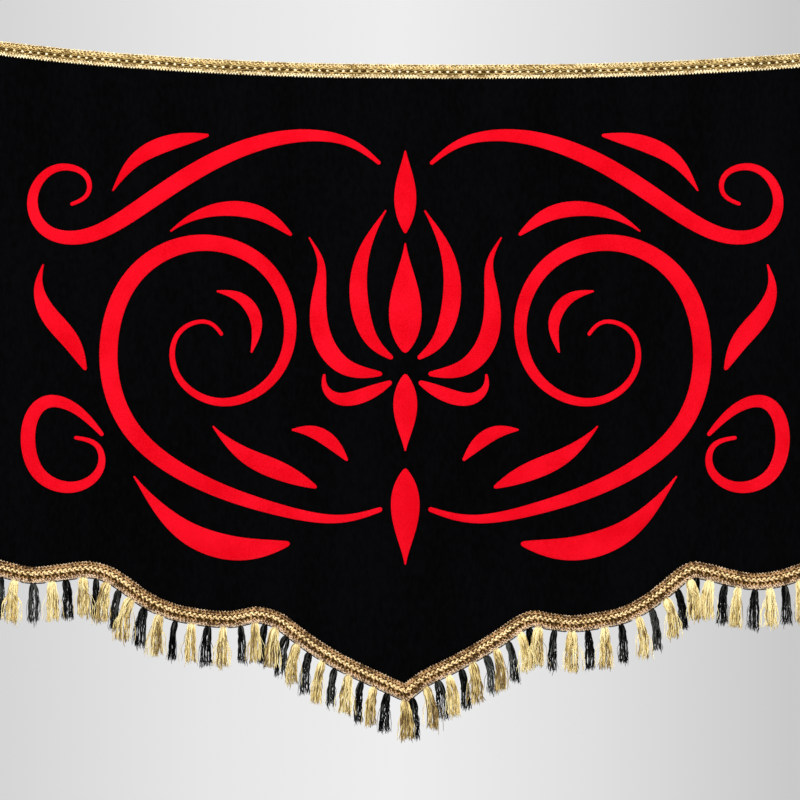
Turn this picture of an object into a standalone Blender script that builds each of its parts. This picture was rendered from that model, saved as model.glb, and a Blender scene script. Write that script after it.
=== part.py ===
"""A hung velvet banner: a waved lower edge that meets in a point, metallic braid along its
upper and lower edges, a fringe of gold and black tassels, and red cloth shapes laid on it.

Metres, +Z up. The front faces -Y, and the origin is the middle of the upper edge.
Flat places are (x, z) points. Every piece then bends with the cloth's folds.
"""

import math
from collections import namedtuple

import bmesh
import bpy
import numpy as np

MM = 0.001

# Driving sizes of the cloth
HALF_WIDTH = 450 * MM
CLOTH_THICK = 1.5 * MM
SIDE_HEM_WIDTH = 15 * MM
SIDE_HEM_EXTRA = 1.4 * MM
GAP = 0.3 * MM

# The upper edge is lowest at SAG_X and rises to each side corner
SAG_X = 70 * MM
RISE_LEFT = 29 * MM
RISE_RIGHT = 14 * MM
RISE_POWER = 2.35

# The braids
TOP_BRAID_STEP = 14.3 * MM
LOWER_BRAID_WIDTH = 17 * MM
LOWER_BRAID_STEP = 10 * MM
CLOTH_UNDER_TOP_BRAID = 1 * MM
CLOTH_PAST_BRAID_MIDDLE = -1 * MM

# The fringe's two tapes, measured outwards from the lower braid's middle line
TAPE_THICK = 0.7 * MM
TAPE_FROM = 2.0 * MM
TAPE_TO = 8.2 * MM

# The tassels: how far down each level is, how wide and how deep
ROOT_WIDTH = 5.2 * MM
NECK_DROP = 3.4 * MM
NECK_WIDTH = 4.8 * MM
NECK_DEPTH = 3.2 * MM
SPLIT_DROP = 6.5 * MM
SPLIT_WIDTH = 6.6 * MM
SPLIT_DEPTH = 3.6 * MM
TASSEL_LENGTH = 41 * MM
TASSEL_HALF_SPREAD = 5.8 * MM
LEVEL_TILT = 0.5
LEAN = 11 * MM
FORWARD = 1.8 * MM
FORWARD_DROP = 8 * MM

# A tassel's locks
LOCKS = 4
LOCK_FILL = 0.45
LOCK_DEPTH = 2.2 * MM
LOCK_STAGGER = 0.85 * MM
BELLY_AT = 0.5
BELLY_SPREAD = 0.86

# How uneven the tassels are
SEED = 7
ALONG_SHIFT = 1.2 * MM
SWAY = 1.3 * MM
LENGTH_SHIFT = 1.8 * MM
LEAST_SPREAD = 0.84

# The red shapes
SHAPE_THICK = 1.2 * MM
SHAPE_CROWN = 0.25 * MM
SHAPE_MIDDLE_X = 10 * MM
SHAPE_STEP = 22 * MM
SHAPE_TURN = math.radians(28)
LEAST_STATIONS = 6
WIDE_SHAPE = 27 * MM
BELLY_POWER = 2.4
END_MARGIN = 1e-6

# The point where the two halves of the lower edge meet: middle line of the lower braid
POINT_X = 10.5

# Middle line of the lower braid, in mm: x, z
HEM_LEFT = (
    (-450, -515), (-415, -522.5), (-379, -530.5), (-345, -527.5), (-318, -525), (-297, -530.5),
    (-281, -540.5), (-261, -555), (-236, -567), (-205, -574), (-172, -576.5), (-140, -572.3),
    (-121, -578.5), (-104, -591), (-86, -604), (-55, -622.5), (-22, -638), (POINT_X, -653),
)
HEM_RIGHT = (
    (POINT_X, -653), (28, -639.5), (56, -625.5), (88, -608), (114, -591.5), (130, -580.5),
    (142, -576), (160, -578.6), (182, -581), (212, -577.5), (238, -571.5), (257, -562),
    (283, -543), (298, -530.5), (308, -525.3), (322, -526.8), (345, -532.5), (371, -537),
    (397, -534.5), (420, -527.5), (450, -516),
)

Fold = namedtuple("Fold", "x_low x_high half_width out_low out_high")
# Soft upright folds, in mm. Each stands out to the front by out_low at the foot and out_high at the top
FOLDS = (
    Fold(-404, -410, 44, 0.9, 1.5),
    Fold(-262, -255, 46, 1.2, 2.0),
    Fold(-176, -170, 40, 0.6, 0.9),
    Fold(-22, -14, 50, 1.3, 2.1),
    Fold(110, 116, 44, 0.9, 1.6),
    Fold(233, 240, 44, 0.9, 1.7),
    Fold(344, 352, 52, 1.6, 3.0),
    Fold(446, 452, 40, 0.8, 1.2),
)
FOLD_FOOT_Z = -650 * MM

Run = namedtuple("Run", "x_from x_to tassels")
# The fringe by stretches between the crests of the lower edge, in mm. The colours alternate
RUNS = (
    Run(-450, -318, 8),
    Run(-318, -140, 12),
    Run(-140, POINT_X, 12),
    Run(POINT_X, 142, 11),
    Run(142, 308, 11),
    Run(308, 450, 10),
)

Row = namedtuple("Row", "across height")
# Front profile of each braid, in mm: distance down from its upper edge, height over its back
TOP_BRAID_PROFILE = (
    Row(0.0, 0.9), Row(2.6, 1.9), Row(5.3, 1.2), Row(10.6, 1.3), Row(12.9, 1.8), Row(15.6, 0.7),
)
LOWER_BRAID_PROFILE = (
    Row(0.0, 0.6), Row(2.6, 0.9), Row(5.4, 2.2), Row(8.6, 1.1), Row(13.2, 1.6), Row(17.0, 0.7),
)

Shape = namedtuple("Shape", "name belly belly_at root tip path")
# Red shapes on the middle line, in mm: widths, and a path of pull points from root to tip
MIDDLE_SHAPES = (
    Shape("heart", 34, 0.36, 3, 2, ((0, -300), (0, -250), (0, -186))),
    Shape("foot_leaf", 25, 0.40, 3, 2, ((0, -322), (0, -360), (0, -402))),
    Shape("drop", 30, 0.38, 2, 2, ((0, -420), (0, -460), (0, -520))),
    Shape("top_bud", 23, 0.42, 2, 2, ((0, -176), (0, -130), (0, -90))),
)
# Red shapes of the right side, which the left side mirrors
SIDE_SHAPES = (
    Shape("petal_in", 19, 0.42, 4, 2, ((13, -306), (40, -288), (52, -236), (44, -190), (20, -152))),
    Shape("petal_out", 20, 0.40, 4, 2,
          ((24, -322), (66, -320), (92, -282), (90, -236), (84, -206), (100, -180))),
    Shape("petal_low", 15, 0.42, 4, 3, ((14, -330), (40, -344), (70, -352), (86, -336), (84, -322))),
    Shape("vine", 19, 0.40, 5, 4,
          ((24, -462), (70, -478), (140, -462), (212, -438), (286, -392), (316, -316), (298, -222),
           (226, -176), (146, -196), (112, -262), (128, -330), (190, -362), (244, -330),
           (244, -276), (204, -262), (190, -282))),
    Shape("scroll_bud", 13, 0.50, 2, 2, ((160, -300), (150, -268), (168, -240), (196, -236))),
    Shape("tail", 15, 0.42, 4, 4,
          ((314, -386), (340, -356), (376, -344), (396, -376), (388, -430), (344, -446),
           (312, -424), (316, -392), (344, -388))),
    Shape("crown", 18, 0.42, 4, 4,
          ((26, -104), (60, -74), (130, -72), (204, -100), (268, -144), (326, -184), (378, -180),
           (394, -138), (368, -102), (328, -110), (326, -138), (348, -146))),
    Shape("leaf_low", 26, 0.40, 4, 2,
          ((120, -498), (170, -508), (226, -492), (262, -456), (282, -428))),
    Shape("leaf_side", 20, 0.42, 3, 2,
          ((332, -318), (346, -286), (372, -262), (384, -232), (376, -208))),
    Shape("leaf_top", 16, 0.42, 3, 2, ((118, -178), (148, -152), (192, -148), (226, -160), (244, -174))),
    Shape("leaf_arm", 17, 0.45, 3, 2, ((204, -74), (246, -80), (284, -98), (304, -132))),
    Shape("leaf_in", 20, 0.42, 3, 2,
          ((92, -440), (126, -424), (164, -410), (190, -388), (200, -376))),
    Shape("vine_bud", 15, 0.50, 3, 2, ((60, -412), (76, -392), (96, -380), (118, -380))),
)

# Depths from the cloth's middle plane, front to back
CLOTH_FRONT = -CLOTH_THICK / 2
LAID_BACK = CLOTH_FRONT - GAP
GOLD_TAPE_FRONT = LAID_BACK + GAP
GOLD_TAPE_BACK = GOLD_TAPE_FRONT + TAPE_THICK
BLACK_TAPE_FRONT = GOLD_TAPE_BACK + GAP
BLACK_TAPE_BACK = BLACK_TAPE_FRONT + TAPE_THICK

# Colour, roughness and metallic value of each material
VELVET = ("velvet", (0.006, 0.006, 0.007), 0.95, 0.0)
RED_CLOTH = ("red_cloth", (0.90, 0.005, 0.02), 0.75, 0.0)
TOP_GOLD = ("braid_gold", (0.72, 0.50, 0.16), 0.35, 0.7)
LOWER_GOLD = ("braid_brown_gold", (0.48, 0.31, 0.12), 0.4, 0.6)
GOLD_YARN = ("yarn_gold", (0.72, 0.52, 0.22), 0.45, 0.3)
BLACK_YARN = ("yarn_black", (0.01, 0.01, 0.01), 0.6, 0.0)


def clear_scene():
    for old in list(bpy.data.objects):
        bpy.data.objects.remove(old, do_unlink=True)


def make_material(name, colour, roughness, metallic):
    material = bpy.data.materials.new(name)
    material.use_nodes = True
    shader = material.node_tree.nodes["Principled BSDF"]
    shader.inputs["Base Color"].default_value = (*colour, 1)
    shader.inputs["Roughness"].default_value = roughness
    shader.inputs["Metallic"].default_value = metallic
    material.diffuse_color = (*colour, 1)
    return material


def add_solid(name, points, faces, material):
    """A closed mesh whose faces all agree, turned so that its volume is positive."""
    mesh = bpy.data.meshes.new(name)
    mesh.from_pydata([tuple(point) for point in points], [], faces)
    shell = bmesh.new()
    shell.from_mesh(mesh)
    bmesh.ops.recalc_face_normals(shell, faces=shell.faces)
    if shell.calc_volume(signed=True) < 0:
        bmesh.ops.reverse_faces(shell, faces=shell.faces)
    shell.to_mesh(mesh)
    shell.free()
    mesh.materials.append(material)
    solid = bpy.data.objects.new(name, mesh)
    bpy.context.scene.collection.objects.link(solid)
    return solid


def loft(name, rings, material, cap):
    """A solid through equal closed rings. cap says how the two end rings are filled."""
    count = len(rings)
    around = len(rings[0])
    faces = []
    for ring in range(count - 1):
        for k in range(around):
            after = (k + 1) % around
            here = ring * around
            there = here + around
            faces.append((here + k, here + after, there + after, there + k))
    for start in (0, (count - 1) * around):
        if cap == "strip":
            faces += [
                (start + k, start + k + 1, start + around - 2 - k, start + around - 1 - k)
                for k in range(around // 2 - 1)
            ]
        else:
            faces.append(tuple(start + k for k in range(around)))
    return add_solid(name, np.concatenate(rings), faces, material)


def upper_edge(x):
    """Height of the upper edge of the top braid."""
    left = RISE_LEFT * (np.maximum(SAG_X - x, 0) / (SAG_X + HALF_WIDTH)) ** RISE_POWER
    right = RISE_RIGHT * (np.maximum(x - SAG_X, 0) / (HALF_WIDTH - SAG_X)) ** RISE_POWER
    return left + right


def fold_depth(x, z):
    """How far the cloth's middle plane stands to the front here: a sum of bell curves."""
    up = np.maximum(1 - z / FOLD_FOOT_Z, 0)
    out = 0
    for fold in FOLDS:
        middle = (fold.x_low + (fold.x_high - fold.x_low) * up) * MM
        height = (fold.out_low + (fold.out_high - fold.out_low) * up) * MM
        out = out + height * np.exp(-(((x - middle) / (fold.half_width * MM)) ** 2))
    return -out


def in_space(flat, depth):
    """(x, z) points set at a depth from the folded middle plane."""
    flat = np.asarray(flat)
    x, z = flat[..., 0], flat[..., 1]
    return np.stack([x, fold_depth(x, z) + depth, z], axis=-1)


def smooth_line(knots, samples=24):
    """A cubic through the knots, whose slope at each comes from its two neighbours."""
    x, z = np.array(knots, float).T * MM
    slope = np.gradient(z, x)
    pieces = []
    for i in range(len(x) - 1):
        t = np.linspace(0, 1, samples, endpoint=False)
        run = x[i + 1] - x[i]
        height = (
            z[i] * (2 * t**3 - 3 * t**2 + 1)
            + z[i + 1] * (3 * t**2 - 2 * t**3)
            + run * slope[i] * (t**3 - 2 * t**2 + t)
            + run * slope[i + 1] * (t**3 - t**2)
        )
        pieces.append(np.stack([x[i] + run * t, height], axis=1))
    pieces.append(np.array([[x[-1], z[-1]]]))
    return np.concatenate(pieces)


def length_along(line):
    steps = np.linalg.norm(np.diff(line, axis=0), axis=1)
    return np.concatenate([[0], np.cumsum(steps)])


def at_length(line, lengths, wanted):
    return np.stack([np.interp(wanted, lengths, line[:, k]) for k in (0, 1)], axis=1)


def outward(line):
    """Mitred directions that point down and out of a line drawn from left to right.

    A piece offset by d times these stays d wide, and its two ends are cut upright.
    """
    step = np.diff(line, axis=0)
    step /= np.linalg.norm(step, axis=1)[:, None]
    square = np.stack([step[:, 1], -step[:, 0]], axis=1)
    before = np.vstack([[0, -1], square])
    after = np.vstack([square, [0, -1]])
    middle = before + after
    middle[0] = middle[-1] = (0, -1)
    middle /= np.linalg.norm(middle, axis=1)[:, None]
    nearest = np.vstack([square, square[-1:]])
    return middle / (middle * nearest).sum(axis=1)[:, None]


def braid_rings(line, start, profile):
    """Rings of a braid: its ridged front, then its flat back. start is its upper edge's place."""
    out = outward(line)
    across = [start + row.across * MM for row in profile]
    depths = [LAID_BACK - row.height * MM for row in profile]
    across += [across[-1], across[0]]
    depths += [LAID_BACK, LAID_BACK]
    columns = [in_space(line + out * far, deep) for far, deep in zip(across, depths)]
    return list(np.stack(columns, axis=1))


def hem_line():
    """The lower braid's middle line, its running length, and the length at the point."""
    left, right = smooth_line(HEM_LEFT), smooth_line(HEM_RIGHT)
    line = np.concatenate([left, right[1:]])
    lengths = length_along(line)
    return line, lengths, lengths[len(left) - 1]


def tassel_places(line, lengths, draw):
    """Length along the hem of each tassel's middle.

    Each run starts half a pitch in, and so ends, but the one whose last root ends at the point.
    """
    places = []
    for run in RUNS:
        start, end = np.interp([run.x_from * MM, run.x_to * MM], line[:, 0], lengths)
        shifts = draw.uniform(-ALONG_SHIFT, ALONG_SHIFT, run.tassels)
        pitch = (end - start) / run.tassels
        if run.x_to == POINT_X:
            pitch = (end - start - ROOT_WIDTH / 2) / (run.tassels - 0.5)
            shifts[-1] = 0
        places.append(start + pitch * (np.arange(run.tassels) + 0.5) + shifts)
    return np.concatenate(places)


def make_panel(stations, material):
    """The velvet, from under the top braid down to the middle of the lower one."""
    foot = stations + outward(stations) * CLOTH_PAST_BRAID_MIDDLE
    head = np.stack([stations[:, 0], upper_edge(stations[:, 0]) - CLOTH_UNDER_TOP_BRAID], axis=1)
    rows = [foot, (foot + head) / 2, head]
    hemmed = np.abs(stations[:, 0]) > HALF_WIDTH - SIDE_HEM_WIDTH
    back = CLOTH_THICK / 2 + np.where(hemmed, SIDE_HEM_EXTRA, 0)
    front_columns = [in_space(row, CLOTH_FRONT) for row in rows]
    back_columns = [in_space(row, back) for row in reversed(rows)]
    loft("panel", list(np.stack(front_columns + back_columns, axis=1)), material, "strip")


def make_top_braid(material):
    count = round(2 * HALF_WIDTH / TOP_BRAID_STEP) + 1
    x = np.linspace(-HALF_WIDTH, HALF_WIDTH, count)
    line = np.stack([x, upper_edge(x)], axis=1)
    loft("top_braid", braid_rings(line, 0, TOP_BRAID_PROFILE), material, "polygon")


def make_lower_braid(line, lengths, point_at, material):
    """The lower braid, with a station at the point so that its mitre is sharp."""
    before = np.linspace(0, point_at, round(point_at / LOWER_BRAID_STEP) + 1)
    rest = lengths[-1] - point_at
    after = np.linspace(point_at, lengths[-1], round(rest / LOWER_BRAID_STEP) + 1)
    middle = at_length(line, lengths, np.concatenate([before, after[1:]]))
    rings = braid_rings(middle, -LOWER_BRAID_WIDTH / 2, LOWER_BRAID_PROFILE)
    loft("lower_braid", rings, material, "polygon")


def add_level(points, middle, half_width, half_depth, tilt, columns):
    """One level of a tassel: a front and a back row of points, each from left to right."""
    x, y, z = middle
    first = len(points)
    for side in (-half_depth, half_depth):
        for far in np.linspace(-half_width, half_width, columns):
            points.append((x + far, y + side, z + far * tilt))
    front = list(range(first, first + columns))
    return front, [number + columns for number in front]


def add_tassel(points, faces, root, foot_shift, forward, draw):
    """One tassel: a neck under the tape, a head, then locks that part from one row of edges.

    root numbers the tape's front left, front right, back right and back left points. The
    tassel leaves the tape square to the hem and bows down to its foot.
    """
    corners = np.array([points[number] for number in root])
    top = corners.mean(axis=0)
    tilt = LEVEL_TILT * (corners[1, 2] - corners[0, 2]) / (corners[1, 0] - corners[0, 0])
    length = TASSEL_LENGTH + draw.uniform(-LENGTH_SHIFT, LENGTH_SHIFT)

    def middle(drop):
        bow = 1 - (1 - drop / length) ** 2
        return top + (foot_shift * bow, -forward * min(1, drop / FORWARD_DROP), -drop)

    neck_front, neck_back = add_level(
        points, middle(NECK_DROP), NECK_WIDTH / 2, NECK_DEPTH / 2, tilt, 2
    )
    split_front, split_back = add_level(
        points, middle(SPLIT_DROP), SPLIT_WIDTH / 2, SPLIT_DEPTH / 2, tilt, LOCKS + 1
    )

    # The four sides of the neck
    left_front, right_front, right_back, left_back = root
    faces.append((left_front, right_front, neck_front[1], neck_front[0]))
    faces.append((right_front, right_back, neck_back[1], neck_front[1]))
    faces.append((right_back, left_back, neck_back[0], neck_back[1]))
    faces.append((left_back, left_front, neck_front[0], neck_back[0]))

    # The head, which fans out from the neck to the row of locks
    half = LOCKS // 2
    for neck, split in ((neck_front, split_front), (neck_back, split_back)):
        faces += [(neck[0], split[k], split[k + 1]) for k in range(half)]
        faces.append((neck[0], split[half], neck[1]))
        faces += [(neck[1], split[k], split[k + 1]) for k in range(half, LOCKS)]
    for end in (0, -1):
        faces.append((neck_front[end], neck_back[end], split_back[end], split_front[end]))

    # The locks, each a belly and a flat cut tip. Every second one stands further back
    half_spread = TASSEL_HALF_SPREAD * draw.uniform(LEAST_SPREAD, 1)
    spacing = 2 * half_spread / (LOCKS - 1 + 2 * LOCK_FILL)
    half_width = spacing * LOCK_FILL
    for k in range(LOCKS):
        far = (k - (LOCKS - 1) / 2) * spacing
        stagger = (-1) ** k * LOCK_STAGGER
        lock_length = length + draw.uniform(-LENGTH_SHIFT, LENGTH_SHIFT)
        belly_drop = SPLIT_DROP + (lock_length - SPLIT_DROP) * BELLY_AT
        belly = middle(belly_drop) + (far * BELLY_SPREAD, stagger, 0)
        belly_front, belly_back = add_level(
            points, belly, half_width * BELLY_SPREAD, LOCK_DEPTH / 2, 0, 2
        )
        tip = middle(lock_length) + (far, stagger, 0)
        tip_left = len(points)
        tip_right = tip_left + 1
        points.append(tip - (half_width, 0, 0))
        points.append(tip + (half_width, 0, 0))
        faces.append((split_front[k], split_front[k + 1], belly_front[1], belly_front[0]))
        faces.append((split_front[k + 1], split_back[k + 1], belly_back[1], belly_front[1]))
        faces.append((split_back[k + 1], split_back[k], belly_back[0], belly_back[1]))
        faces.append((split_back[k], split_front[k], belly_front[0], belly_back[0]))
        faces.append((belly_front[0], belly_front[1], tip_right, tip_left))
        faces.append((belly_back[1], belly_back[0], tip_left, tip_right))
        faces.append((belly_front[0], tip_left, belly_back[0]))
        faces.append((belly_front[1], belly_back[1], tip_right))


def make_fringe(name, stations, own, depths, forward, draw, material):
    """A narrow tape along the hem, with this colour's tassels grown out of its lower face.

    Segment 2k + 1 of the stations is the root of tassel k, and own lists this colour's k.
    """
    out = outward(stations)
    top, bottom = stations + out * TAPE_FROM, stations + out * TAPE_TO
    front, back = depths
    corners = [in_space(top, front), in_space(bottom, front), in_space(bottom, back), in_space(top, back)]
    points = list(np.stack(corners, axis=1).reshape(-1, 3))
    last = len(stations) - 1
    faces = [(0, 1, 2, 3), tuple(4 * last + k for k in range(4))]
    roots = [2 * k + 1 for k in own]
    for segment in range(last):
        here, there = 4 * segment, 4 * segment + 4
        for k in (0, 2, 3):
            after = (k + 1) % 4
            faces.append((here + k, here + after, there + after, there + k))
        if segment in roots:
            foot_shift = LEAN * out[segment : segment + 2, 0].mean() + draw.uniform(-SWAY, SWAY)
            root = (here + 1, there + 1, there + 2, here + 2)
            add_tassel(points, faces, root, foot_shift, forward, draw)
        else:
            faces.append((here + 1, here + 2, there + 2, there + 1))
    add_solid(name, points, faces, material)


def pull_curve(path, samples=400):
    """A uniform cubic B-spline from the path's first point to its last."""
    pull = np.array(path, float) * MM
    pull = np.vstack([2 * pull[0] - pull[1], pull, 2 * pull[-1] - pull[-2]])
    spans = len(pull) - 3
    t = np.linspace(0, spans, samples)
    first = np.minimum(t.astype(int), spans - 1)
    f = (t - first)[:, None]
    weights = ((1 - f) ** 3, 3 * f**3 - 6 * f**2 + 4, -3 * f**3 + 3 * f**2 + 3 * f + 1, f**3)
    return sum(weight * pull[first + k] for k, weight in enumerate(weights)) / 6


def make_shape(name, shape, side, material):
    """A flat red shape: a curved spine with a width that swells to its belly."""
    spine = pull_curve(shape.path)
    step = np.gradient(spine, axis=0)
    step /= np.linalg.norm(step, axis=1)[:, None]
    lengths = length_along(spine)
    turned = np.abs(np.diff(np.unwrap(np.arctan2(step[:, 1], step[:, 0]))))
    effort = np.concatenate([[0], np.cumsum(np.diff(lengths) / SHAPE_STEP + turned / SHAPE_TURN)])
    count = max(LEAST_STATIONS, math.ceil(effort[-1]) + 1)
    stops = np.interp(np.linspace(0, effort[-1], count), effort, np.arange(len(spine)))
    number = np.arange(len(spine))
    spine = np.stack([np.interp(stops, number, spine[:, k]) for k in (0, 1)], axis=1)
    step = np.stack([np.interp(stops, number, step[:, k]) for k in (0, 1)], axis=1)
    t = np.clip(np.interp(stops, number, lengths) / lengths[-1], END_MARGIN, 1 - END_MARGIN)
    at = shape.belly_at
    swell = ((t / at) ** at * ((1 - t) / (1 - at)) ** (1 - at)) ** BELLY_POWER
    ends = shape.root * (1 - t) + shape.tip * t
    ends_at_belly = shape.root * (1 - at) + shape.tip * at
    half = (ends + (shape.belly - ends_at_belly) * swell)[:, None] * MM / 2
    square = np.stack([-step[:, 1], step[:, 0]], axis=1)
    edges = [spine - square * half, spine + square * half]
    if shape.belly * MM > WIDE_SHAPE:
        edges.insert(1, spine)
    crowns = [0, SHAPE_CROWN, 0] if len(edges) == 3 else [0, 0]
    for edge in edges:
        edge[:, 0] = SHAPE_MIDDLE_X + side * edge[:, 0]
    back = [in_space(edge, LAID_BACK) for edge in edges]
    front = [in_space(edge, LAID_BACK - SHAPE_THICK - crown) for edge, crown in zip(edges, crowns)]
    loft(name, list(np.stack(back + front[::-1], axis=1)), material, "strip")


def main():
    clear_scene()
    draw = np.random.default_rng(SEED)
    line, lengths, point_at = hem_line()
    places = tassel_places(line, lengths, draw)
    ends = np.stack([places - ROOT_WIDTH / 2, places + ROOT_WIDTH / 2], axis=1).ravel()
    stations = at_length(line, lengths, np.concatenate([[0], ends, [lengths[-1]]]))

    make_panel(stations, make_material(*VELVET))
    make_top_braid(make_material(*TOP_GOLD))
    make_lower_braid(line, lengths, point_at, make_material(*LOWER_GOLD))
    black, gold = range(0, len(places), 2), range(1, len(places), 2)
    make_fringe("fringe_gold", stations, gold, (GOLD_TAPE_FRONT, GOLD_TAPE_BACK), FORWARD, draw,
                make_material(*GOLD_YARN))
    make_fringe("fringe_black", stations, black, (BLACK_TAPE_FRONT, BLACK_TAPE_BACK), -FORWARD, draw,
                make_material(*BLACK_YARN))

    for shape in MIDDLE_SHAPES:
        make_shape(shape.name, shape, 1, make_material(*RED_CLOTH))
    for shape in SIDE_SHAPES:
        make_shape(shape.name + "_l", shape, -1, make_material(*RED_CLOTH))
        make_shape(shape.name + "_r", shape, 1, make_material(*RED_CLOTH))


main()
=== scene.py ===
# A hung velvet banner: waved lower edge that meets in a point, metallic braid above and below,
# a fringe of gold and black tassels, and a symmetric pattern of red cloth laid on the front.
# The front faces -Y, x runs to the right and z up. Flat places are (x, z).
import math

import bpy
import numpy as np
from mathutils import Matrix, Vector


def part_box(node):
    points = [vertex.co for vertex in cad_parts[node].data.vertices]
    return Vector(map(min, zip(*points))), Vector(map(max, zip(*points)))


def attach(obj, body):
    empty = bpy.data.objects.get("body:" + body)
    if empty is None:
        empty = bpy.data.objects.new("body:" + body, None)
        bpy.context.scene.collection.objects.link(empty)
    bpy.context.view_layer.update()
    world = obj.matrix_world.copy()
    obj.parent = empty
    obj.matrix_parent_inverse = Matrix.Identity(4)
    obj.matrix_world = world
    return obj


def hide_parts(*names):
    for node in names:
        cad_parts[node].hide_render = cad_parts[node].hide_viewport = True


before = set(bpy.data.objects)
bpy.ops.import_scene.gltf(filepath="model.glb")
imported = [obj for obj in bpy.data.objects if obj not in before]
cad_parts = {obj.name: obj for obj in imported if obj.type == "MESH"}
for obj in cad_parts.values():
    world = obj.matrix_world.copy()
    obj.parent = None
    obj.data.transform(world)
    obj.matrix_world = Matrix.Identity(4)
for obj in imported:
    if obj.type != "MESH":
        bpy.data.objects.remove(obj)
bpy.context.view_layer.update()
mm = 0.001
tau = 2 * np.pi
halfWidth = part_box("top_braid")[1].x    # the cloth is as wide as its upper braid
formDraw = np.random.default_rng(7)    # the tassels' places and lengths, drawn as in the solids
fineDraw = np.random.default_rng(21)    # everything finer
print("frame loaded, half width", round(halfWidth, 4))


# t * t * (3 - 2 * t), with t from 0 at low to 1 at high
def softStep(low, high, value):
    t = np.clip((value - low) / (high - low), 0, 1)
    return t * t * (3 - 2 * t)


def unit(vectors):
    return vectors / np.linalg.norm(vectors, axis=-1, keepdims=True)


# Sums of the steps so far, with 0 in front
def running(steps):
    return np.insert(np.cumsum(steps, axis=-1), 0, 0, axis=-1)


def lengthAlong(line):
    return running(np.linalg.norm(np.diff(line, axis=0), axis=1))


# Flat places or directions of a line at the given lengths along it
def lineAt(along, lengths, line):
    return np.stack([np.interp(along, lengths, line[:, k]) for k in (0, 1)], axis=-1)


# The cloth: the shape that everything else lies on
cloth = {
    "thick": 1.5 * mm,
    "gap": 0.3 * mm,    # between the cloth and what is laid on it
    "sagX": 70 * mm,    # the upper edge is lowest here
    "riseLeft": 29 * mm,
    "riseRight": 14 * mm,
    "risePower": 2.35,
    "footZ": -650 * mm,    # where the folds' low values count
    "folds": [    # xLow, xHigh, half width, out at the foot, out at the top, in mm
        (-404, -410, 44, 0.9, 1.5), (-262, -255, 46, 1.2, 2.0), (-176, -170, 40, 0.6, 0.9),
        (-22, -14, 50, 1.3, 2.1), (110, 116, 44, 0.9, 1.6), (233, 240, 44, 0.9, 1.7),
        (344, 352, 52, 1.6, 3.0), (446, 452, 40, 0.8, 1.2),
    ],
    "puckerDepth": 0.22 * mm,    # small gathers where the braids are sewn on
    "puckerPitch": 31 * mm,
    "puckerDrift": 1.3,    # how far their phase wanders, in radians
    "puckerDriftOver": 57 * mm,
    "puckerReach": 45 * mm,
}
laidBack = -cloth["thick"] / 2 - cloth["gap"]    # depth of the back of whatever is laid on the front


# Height of the upper edge: rise * (distance from the lowest place / distance to the corner) ^ power
def upperEdge(x):
    sag, power = cloth["sagX"], cloth["risePower"]
    left = cloth["riseLeft"] * (np.maximum(sag - x, 0) / (sag + halfWidth)) ** power
    right = cloth["riseRight"] * (np.maximum(x - sag, 0) / (halfWidth - sag)) ** power
    return left + right


# Depth of the middle of the cloth: minus the sum of bell curves out * exp(-((x - middle) / width)^2),
# whose middle and out go straight from foot to top, plus small waves that fade away from the upper edge
def clothDepth(x, z):
    up = np.maximum(1 - z / cloth["footZ"], 0)
    out = 0
    for xLow, xHigh, width, outLow, outHigh in cloth["folds"]:
        middle = (xLow + (xHigh - xLow) * up) * mm
        out = out + (outLow + (outHigh - outLow) * up) * mm * np.exp(-(((x - middle) / (width * mm)) ** 2))
    below = (upperEdge(x) - z) / cloth["puckerReach"]
    drift = cloth["puckerDrift"] * np.sin(x / cloth["puckerDriftOver"])
    wave = np.sin(tau * x / cloth["puckerPitch"] + drift)
    return cloth["puckerDepth"] * wave * below * np.exp(1 - below) - out


# Flat (x, z) places set at a depth from the middle of the folded cloth
def onCloth(flat, depth):
    x, z = flat[..., 0], flat[..., 1]
    return np.stack([x, clothDepth(x, z) + depth, z], axis=-1)


# The lower edge: middle line of the lower braid, in mm
hem = {
    "left": [
        (-450, -515), (-415, -522.5), (-379, -530.5), (-345, -527.5), (-318, -525), (-297, -530.5),
        (-281, -540.5), (-261, -555), (-236, -567), (-205, -574), (-172, -576.5), (-140, -572.3),
        (-121, -578.5), (-104, -591), (-86, -604), (-55, -622.5), (-22, -638), (10.5, -653),
    ],
    "right": [
        (10.5, -653), (28, -639.5), (56, -625.5), (88, -608), (114, -591.5), (130, -580.5),
        (142, -576), (160, -578.6), (182, -581), (212, -577.5), (238, -571.5), (257, -562),
        (283, -543), (298, -530.5), (308, -525.3), (322, -526.8), (345, -532.5), (371, -537),
        (397, -534.5), (420, -527.5), (450, -516),
    ],
    "lean": 22 * mm,    # over this length the braid's crossways direction turns to the mitre
}


# Cubic through the knots, each slope from its two neighbours:
# z0 + rise * (3t^2 - 2t^3) + run * (slope0 * (t^3 - 2t^2 + t) + slope1 * (t^3 - t^2))
def smoothLine(knots, samples=24):
    x, z = np.array(knots, float).T * mm
    slope = np.gradient(z, x)[:, None]
    t = np.linspace(0, 1, samples, endpoint=False)
    run, rise = np.diff(x)[:, None], np.diff(z)[:, None]
    ends = slope[:-1] * (t**3 - 2 * t**2 + t) + slope[1:] * (t**3 - t**2)
    height = z[:-1, None] + rise * (3 * t**2 - 2 * t**3) + run * ends
    flat = np.stack([x[:-1, None] + run * t, height], axis=-1).reshape(-1, 2)
    return np.vstack([flat, [x[-1], z[-1]]])


def cross2(a, b):
    return a[..., 0] * b[..., 1] - a[..., 1] * b[..., 0]


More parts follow.
